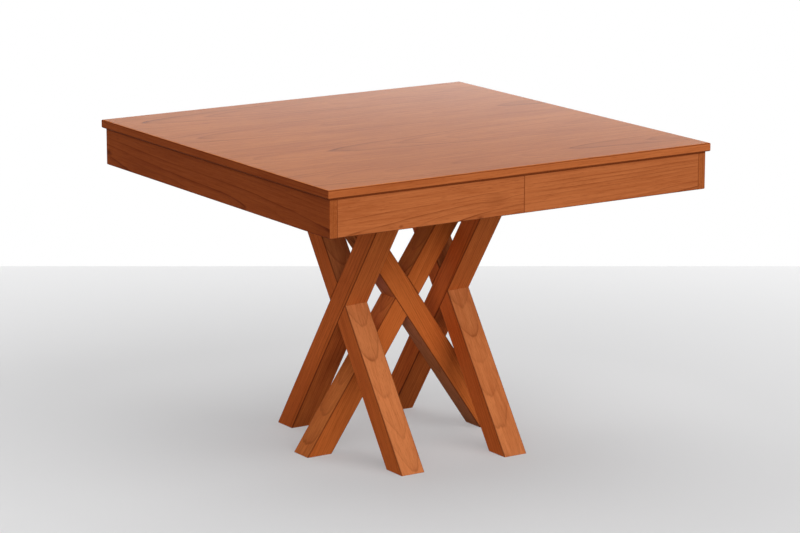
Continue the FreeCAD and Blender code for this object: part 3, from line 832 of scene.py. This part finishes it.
def screw_tree():
    """Screw with its seat at the origin, its shank along +Z and a domed cross-recessed head below."""
    tree = Tree("threaded_screws")
    points = tree.inputs.outputs[0]
    head, tall = tree.size("Head radius"), tree.size("Head height")
    shank, long = tree.size("Core radius"), tree.size("Length")
    pitch, thread = tree.size("Thread pitch"), tree.size("Thread depth")
    material = tree.size("Material", "NodeSocketMaterial")
    tip = tree.times(shank, POINT_LENGTH)
    core_long = tree.math("SUBTRACT", long, tip)
    core = tree.add("GeometryNodeMeshCylinder", {}, {"Vertices": 20, "Radius": shank, "Depth": core_long})
    core = tree.moved(core, tree.times(core_long, 0.5))
    point = tree.add("GeometryNodeMeshCone", {}, {
        "Vertices": 20, "Radius Top": POINT_RADIUS, "Radius Bottom": shank, "Depth": tip})
    point = tree.moved(point, core_long)
    threaded = tree.times(core_long, THREAD_SHARE)
    helix = tree.add("GeometryNodeCurveSpiral", {}, {
        "Resolution": 14, "Rotations": tree.math("DIVIDE", threaded, pitch), "Start Radius": shank,
        "End Radius": shank, "Height": threaded})
    section = tree.add("GeometryNodeCurvePrimitiveCircle", {}, {"Resolution": 3, "Radius": thread})
    helix = tree.add("GeometryNodeCurveToMesh", {}, {
        "Curve": helix, "Profile Curve": section, "Fill Caps": True})
    helix = tree.moved(helix, tree.times(core_long, THREAD_START))
    rim_tall = tree.times(tall, RIM_SHARE)
    rim = tree.add("GeometryNodeMeshCylinder", {}, {"Vertices": 32, "Radius": head, "Depth": rim_tall})
    rim = tree.moved(rim, tree.times(rim_tall, -0.5))
    dome = tree.add("GeometryNodeMeshUVSphere", {}, {"Segments": 32, "Rings": 16, "Radius": 1.0})
    dome_size = tree.vector(head, head, tree.math("SUBTRACT", tall, rim_tall))
    dome = tree.moved(dome, tree.times(rim_tall, -1.0), Scale=dome_size)
    slot_long = tree.times(head, CROSS_LENGTH)
    slot_wide = tree.times(head, CROSS_WIDTH)
    slots = [tree.add("GeometryNodeMeshCube", {}, {"Size": tree.vector(x, y, tall)})
             for x, y in ((slot_long, slot_wide), (slot_wide, slot_long))]
    cross = tree.moved(tree.union(*slots), tree.times(tall, CROSS_DROP))
    button = tree.add("GeometryNodeMeshBoolean", {"operation": "DIFFERENCE", "solver": "EXACT"},
                      {0: tree.union(rim, dome), 1: cross})
    screw = tree.join(button, core, point, helix)
    way = tree.add("GeometryNodeInputNamedAttribute", {"data_type": "FLOAT_VECTOR"}, {"Name": "way"})
    turn = tree.add("FunctionNodeAlignRotationToVector", {"axis": "Z"}, {"Vector": way})
    placed = tree.add("GeometryNodeInstanceOnPoints", {}, {
        "Points": points, "Instance": screw, "Rotation": turn})
    whole = tree.add("GeometryNodeRealizeInstances", {}, {"Geometry": placed})
    whole = tree.add("GeometryNodeSetMaterial", {}, {"Geometry": whole, "Material": material})
    out = tree.group.nodes.new("NodeGroupOutput")
    tree.group.links.new(whole, out.inputs[0])
    return tree


def joined_to(start):
    """All the corners of the loose piece that a corner belongs to."""
    group, waiting = set(), [start]
    while waiting:
        vert = waiting.pop()
        if vert not in group:
            group.add(vert)
            waiting += [edge.other_vert(vert) for edge in vert.link_edges]
    return group


def measured_bar(points):
    """Seat, direction, radius, head radius, head height and length of a bar from its corners."""
    low = Vector([min(point[axis] for point in points) for axis in range(3)])
    high = Vector([max(point[axis] for point in points) for axis in range(3)])
    centre = (low + high) / 2
    along = max(range(3), key=lambda axis: high[axis] - low[axis])
    levels = sorted(set(round(point[along], 5) for point in points))

    def radius_at(level):
        spokes = [point - centre for point in points if abs(point[along] - level) < 2e-5]
        for spoke in spokes:
            spoke[along] = 0
        return max(spoke.length for spoke in spokes)

    way = Vector((0, 0, 0))
    way[along] = 1 if radius_at(levels[0]) > radius_at(levels[-1]) else -1
    if way[along] < 0:
        levels.reverse()
    outer, seat, tip = levels[0], levels[1], levels[-1]
    place = centre.copy()
    place[along] = seat
    return place, way, radius_at(tip), radius_at(outer), abs(seat - outer), abs(tip - seat)


def bars_of(node):
    """The measures of each plain screw in a node."""
    shape = clean_copy(node)
    found = []
    done = set()
    for vert in shape.verts:
        if vert not in done:
            group = joined_to(vert)
            done |= group
            found.append(measured_bar([corner.co.copy() for corner in group]))
    shape.free()
    return found


class TABLE_OT_screws(bpy.types.Operator):
    """Put a threaded, cross-recessed screw in the place of each plain screw"""
    bl_idname = "table.screws"
    bl_label = "Screws"

    def execute(self, context):
        tree = screw_tree()
        steel = context.scene.table_steel
        for node in ("leg_lag_screws", "slide_rail_screws",
                     "left_runner_screws", "right_runner_screws",
                     "left_corner_screws", "right_corner_screws",
                     "left_clip_screws", "right_clip_screws"):
            bars = bars_of(node)
            points = bpy.data.meshes.new(node + "_places")
            points.from_pydata([bar[0] for bar in bars], [], [])
            ways = points.attributes.new("way", "FLOAT_VECTOR", "POINT")
            for item, bar in zip(ways.data, bars):
                item.vector = bar[1]
            carrier = bpy.data.objects.new(node + "_places", points)
            context.scene.collection.objects.link(carrier)
            turned = carrier.modifiers.new("Screws", "NODES")
            turned.node_group = tree.group
            core, head, tall, long = bars[0][2:]
            sizes = {"Head radius": head * FLATS, "Head height": tall,
                     "Core radius": core * FLATS - steel.thread, "Length": long,
                     "Thread pitch": steel.pitch, "Thread depth": steel.thread, "Material": zinc()}
            for name, value in sizes.items():
                turned[tree.names[name]] = value
            context.view_layer.update()
            evaluated = carrier.evaluated_get(context.evaluated_depsgraph_get())
            mesh = bpy.data.meshes.new_from_object(evaluated)
            bpy.data.objects.remove(carrier)
            if len(mesh.polygons) == 0:
                raise RuntimeError("no screws were made for " + node)
            mesh.name = node + "_dressed"
            mesh.shade_smooth()
            mesh.set_sharp_from_angle(angle=math.radians(40))
            add_piece(mesh, node)
        return {"FINISHED"}


# ---- Stage ---------------------------------------------------------------------------------------
# Where each soft light comes from, and how far off it is drawn in the view
LIGHTS = {"key": (0.32, -0.85, 0.42), "fill": (-0.60, -0.78, 0.15), "rear": (-0.25, 0.93, 0.27),
          "ceiling": (0.10, 0.10, 0.99)}
LIGHT_DISTANCE = 6
# The lamp behind the table: its place, the point it faces, its length and its height
BACK_LAMP = Vector((2.15, 2.30, 0.95))
BACK_LAMP_AIM = Vector((0, 0, 0.75))
BACK_LAMP_SIZE = (3.4, 0.5)
# How far the floor reaches to the sides and to the camera, and how far to the back
FLOOR_NEAR = 7
FLOOR_FAR = 1.93


def seen_or_mirrored(shading):
    """One for rays that come from the camera, straight or by way of a mirror or glass."""
    seen = 0.0
    for name in ("Is Camera Ray", "Is Glossy Ray", "Is Transmission Ray"):
        seen = shading.add("ShaderNodeLightPath", {}, output=name).math("MAXIMUM", seen)
    return seen


class TABLE_OT_stage(bpy.types.Operator):
    """Lay the floor, light the room and set the camera"""
    bl_idname = "table.stage"
    bl_label = "Floor, light and camera"

    def execute(self, context):
        scene = context.scene
        stage = scene.table_stage
        scene.view_settings.view_transform = "Standard"
        self.lay_floor(scene, stage)
        self.light_room(scene, stage)
        for name, direction in LIGHTS.items():
            self.hang_lamp(scene, name + "_lamp", Vector(direction), getattr(stage, name), stage.softness)
        self.stand_lamp(scene, stage.back)
        self.set_camera(scene, stage)
        return {"FINISHED"}

    def lay_floor(self, scene, stage):
        """Plain floor whose far edge runs square to the camera."""
        turn = stage.azimuth
        right = Vector((math.cos(turn), math.sin(turn), 0))
        back = Vector((-math.sin(turn), math.cos(turn), 0))
        corners = [right * x + back * y for x, y in (
            (-FLOOR_NEAR, -FLOOR_NEAR), (FLOOR_NEAR, -FLOOR_NEAR), (FLOOR_NEAR, FLOOR_FAR),
            (-FLOOR_NEAR, FLOOR_FAR))]
        mesh = bpy.data.meshes.new("floor")
        mesh.from_pydata([corner[:] for corner in corners], [], [(0, 1, 2, 3)])
        paint = Finish(bpy.data.materials.new("pale_floor"))
        place = paint.add("ShaderNodeTexCoord", {}, output="Object")
        away = paint.vector("LENGTH", place, output="Value")
        glow = paint.mix(paint.ramp(away / 10, (0.10, 0.0), (0.30, 1.0)), stage.glow, stage.far_glow)
        seen = seen_or_mirrored(paint)
        mesh.materials.append(paint.close(
            "ShaderNodeBsdfPrincipled", Base_Color=paint.mix(seen, stage.bounce, stage.floor),
            Roughness=0.8, Emission_Strength=1.0, Emission_Color=paint.mix(seen, (0, 0, 0), glow)))
        floor = bpy.data.objects.new("floor", mesh)
        scene.collection.objects.link(floor)

    def light_room(self, scene, stage):
        """Even light all round.  The camera sees the room white; a mirrored ray meets its dim walls."""
        room = Finish(bpy.data.worlds.new("room"))
        toward = room.add("ShaderNodeTexCoord", {}, output="Generated")
        x = room.add("ShaderNodeSeparateXYZ", {}, toward, output="X")
        walls = room.ramp(x * 0.5 + 0.5, (0.28, 0.02), (0.60, 0.10))
        camera = room.add("ShaderNodeLightPath", {}, output="Is Camera Ray")
        seen = seen_or_mirrored(room)
        strength = camera + (seen - camera) * walls + (1 - seen) * stage.sky
        scene.world = room.close("ShaderNodeBackground", "ShaderNodeOutputWorld", Color=(1, 1, 1),
                                 Strength=strength)

    def hang_lamp(self, scene, name, direction, strength, softness):
        """Wide, soft light that comes evenly from one side of the room."""
        lamp = bpy.data.lights.new(name, "SUN")
        lamp.energy = strength
        lamp.angle = softness
        item = bpy.data.objects.new(name, lamp)
        item.location = direction * LIGHT_DISTANCE
        item.rotation_mode = "QUATERNION"
        item.rotation_quaternion = (-direction).to_track_quat("-Z", "Y")
        item.visible_glossy = False
        scene.collection.objects.link(item)

    def stand_lamp(self, scene, power):
        """Long, low lamp beside the back of the table, which its top mirrors."""
        lamp = bpy.data.lights.new("back_lamp", "AREA")
        lamp.shape = "RECTANGLE"
        lamp.size, lamp.size_y = BACK_LAMP_SIZE
        lamp.energy = power
        item = bpy.data.objects.new("back_lamp", lamp)
        item.location = BACK_LAMP
        item.rotation_mode = "QUATERNION"
        item.rotation_quaternion = (BACK_LAMP_AIM - BACK_LAMP).to_track_quat("-Z", "Y")
        item.visible_camera = False
        scene.collection.objects.link(item)

    def set_camera(self, scene, stage):
        """Camera with a long lens that looks at a point on the table's axis."""
        lens = bpy.data.cameras.new("camera")
        lens.lens = stage.lens
        lens.sensor_width = 36
        lens.clip_end = 100
        away = Vector((math.sin(stage.azimuth) * math.cos(stage.elevation),
                       -math.cos(stage.azimuth) * math.cos(stage.elevation), math.sin(stage.elevation)))
        camera = bpy.data.objects.new("camera", lens)
        camera.location = Vector((0, 0, stage.aim)) + away * stage.distance
        camera.rotation_mode = "QUATERNION"
        camera.rotation_quaternion = (-away).to_track_quat("-Z", "Y")
        scene.collection.objects.link(camera)
        scene.camera = camera


class TABLE_PT_panel(bpy.types.Panel):
    """Lists the pieces of the table and their sizes and colours"""
    bl_idname = "TABLE_PT_panel"
    bl_label = "Sawbuck table"
    bl_space_type = "VIEW_3D"
    bl_region_type = "UI"
    bl_category = "Table"

    def draw(self, context):
        for settings in (context.scene.table_wood, context.scene.table_steel, context.scene.table_stage):
            column = self.layout.column(align=True)
            for name in settings.__annotations__:
                column.prop(settings, name)
        for operator in OPERATORS:
            self.layout.operator(operator.bl_idname)


OPERATORS = (TABLE_OT_top, TABLE_OT_apron, TABLE_OT_frames, TABLE_OT_rails, TABLE_OT_slides,
             TABLE_OT_fittings, TABLE_OT_screws, TABLE_OT_stage)
SETTINGS = {"table_wood": WoodSettings, "table_steel": SteelSettings, "table_stage": StageSettings}


def register():
    for name, group in SETTINGS.items():
        bpy.utils.register_class(group)
        setattr(bpy.types.Scene, name, PointerProperty(type=group))
    for item in (*OPERATORS, TABLE_PT_panel):
        bpy.utils.register_class(item)


def unregister():
    for item in (TABLE_PT_panel, *reversed(OPERATORS)):
        bpy.utils.unregister_class(item)
    for name, group in SETTINGS.items():
        delattr(bpy.types.Scene, name)
        bpy.utils.unregister_class(group)


def main():
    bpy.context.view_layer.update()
    register()
    for operator in OPERATORS:
        group, name = operator.bl_idname.split(".")
        getattr(getattr(bpy.ops, group), name)()


if __name__ == "__main__":
    main()
